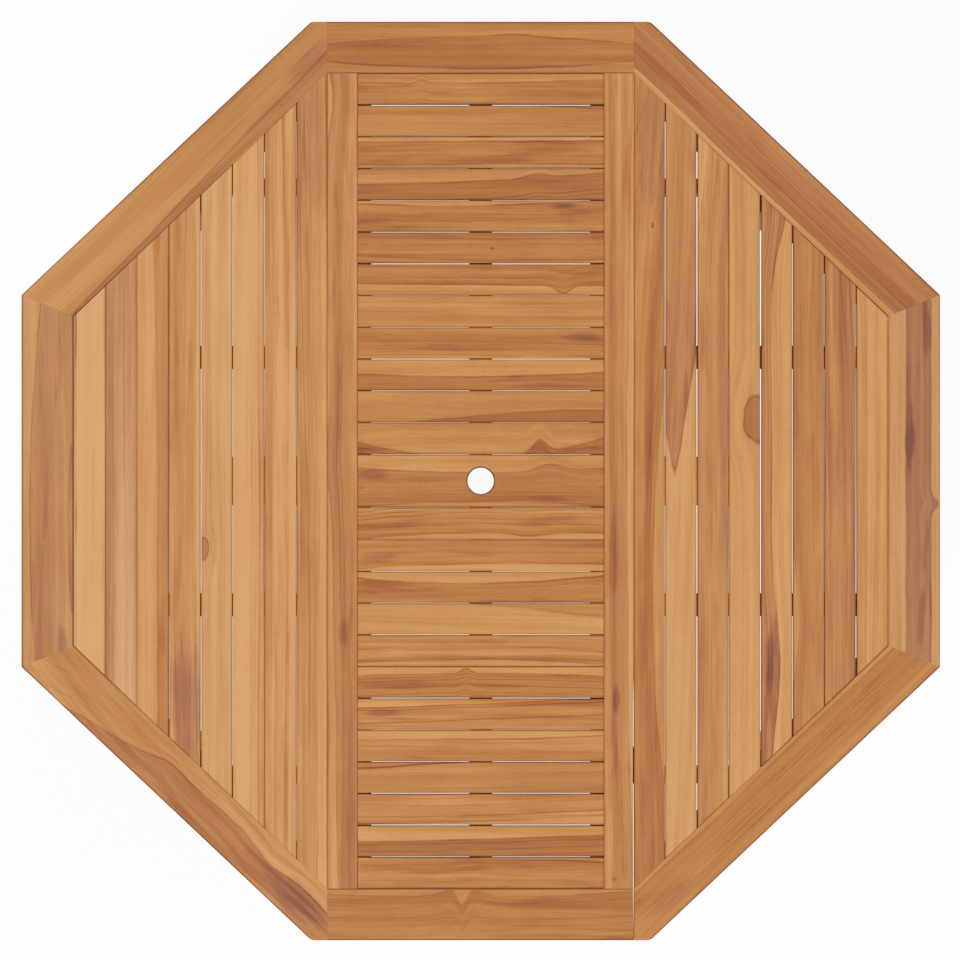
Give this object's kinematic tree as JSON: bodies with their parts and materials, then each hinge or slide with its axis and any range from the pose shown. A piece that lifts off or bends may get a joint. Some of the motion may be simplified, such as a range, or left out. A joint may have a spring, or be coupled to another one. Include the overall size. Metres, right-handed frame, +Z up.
{
  "type": "garden table",
  "caption": "Octagonal slatted wooden garden table with a three-panel top, a parasol hole and a bolted four-legged base.",
  "frame": {"origin": "on the floor under the middle of the parasol hole", "axes": "+Z up; +X across the three top panels; +Y along the seams between the panels"},
  "size_m": [1.2, 1.2, 0.75],
  "materials": {
    "frame_teak": "oiled teak, satin",
    "centre_slat_teak": "oiled teak, satin",
    "wing_slat_teak": "oiled teak, satin",
    "base_teak": "oiled teak, satin",
    "fittings_steel": "zinc plated",
    "bracket_steel": "zinc plated"
  },
  "bodies": {
    "root": {"apron_back": "base_teak", "apron_front": "base_teak", "apron_left": "base_teak", "apron_right": "base_teak", "barrel_nut_apron_back_left": "fittings_steel", "barrel_nut_apron_back_right": "fittings_steel", "barrel_nut_apron_front_left": "fittings_steel", "barrel_nut_apron_front_right": "fittings_steel", "barrel_nut_stretcher_left": "fittings_steel", "barrel_nut_stretcher_right": "fittings_steel", "centre_end_rail_back": "frame_teak", "centre_end_rail_front": "frame_teak", "centre_parasol_slat": "centre_slat_teak", "centre_slats_back": "centre_slat_teak", "centre_slats_front": "centre_slat_teak", "centre_stile_left": "frame_teak", "centre_stile_right": "frame_teak", "connector_bolt_apron_back_left": "fittings_steel", "connector_bolt_apron_back_right": "fittings_steel", "connector_bolt_apron_front_left": "fittings_steel", "connector_bolt_apron_front_right": "fittings_steel", "connector_bolt_stretcher_left": "fittings_steel", "connector_bolt_stretcher_right": "fittings_steel", "leg_back_left": "base_teak", "leg_back_right": "base_teak", "leg_front_left": "base_teak", "leg_front_right": "base_teak", "lower_rail_left": "base_teak", "lower_rail_right": "base_teak", "parasol_stretcher": "base_teak", "seam_bracket_back_left": "bracket_steel", "seam_bracket_back_right": "bracket_steel", "seam_bracket_front_left": "bracket_steel", "seam_bracket_front_right": "bracket_steel", "wing_batten_back_left": "base_teak", "wing_batten_back_right": "base_teak", "wing_batten_front_left": "base_teak", "wing_batten_front_right": "base_teak", "wing_diagonal_back_left": "frame_teak", "wing_diagonal_back_right": "frame_teak", "wing_diagonal_front_left": "frame_teak", "wing_diagonal_front_right": "frame_teak", "wing_rim_left": "frame_teak", "wing_rim_right": "frame_teak", "wing_slat_left_1": "wing_slat_teak", "wing_slat_left_2": "wing_slat_teak", "wing_slat_left_3": "wing_slat_teak", "wing_slat_left_4": "wing_slat_teak", "wing_slat_left_5": "wing_slat_teak", "wing_slat_left_6": "wing_slat_teak", "wing_slat_left_7": "wing_slat_teak", "wing_slat_right_1": "wing_slat_teak", "wing_slat_right_2": "wing_slat_teak", "wing_slat_right_3": "wing_slat_teak", "wing_slat_right_4": "wing_slat_teak", "wing_slat_right_5": "wing_slat_teak", "wing_slat_right_6": "wing_slat_teak", "wing_slat_right_7": "wing_slat_teak", "wing_stile_left": "frame_teak", "wing_stile_right": "frame_teak"}
  },
  "joints": []
}
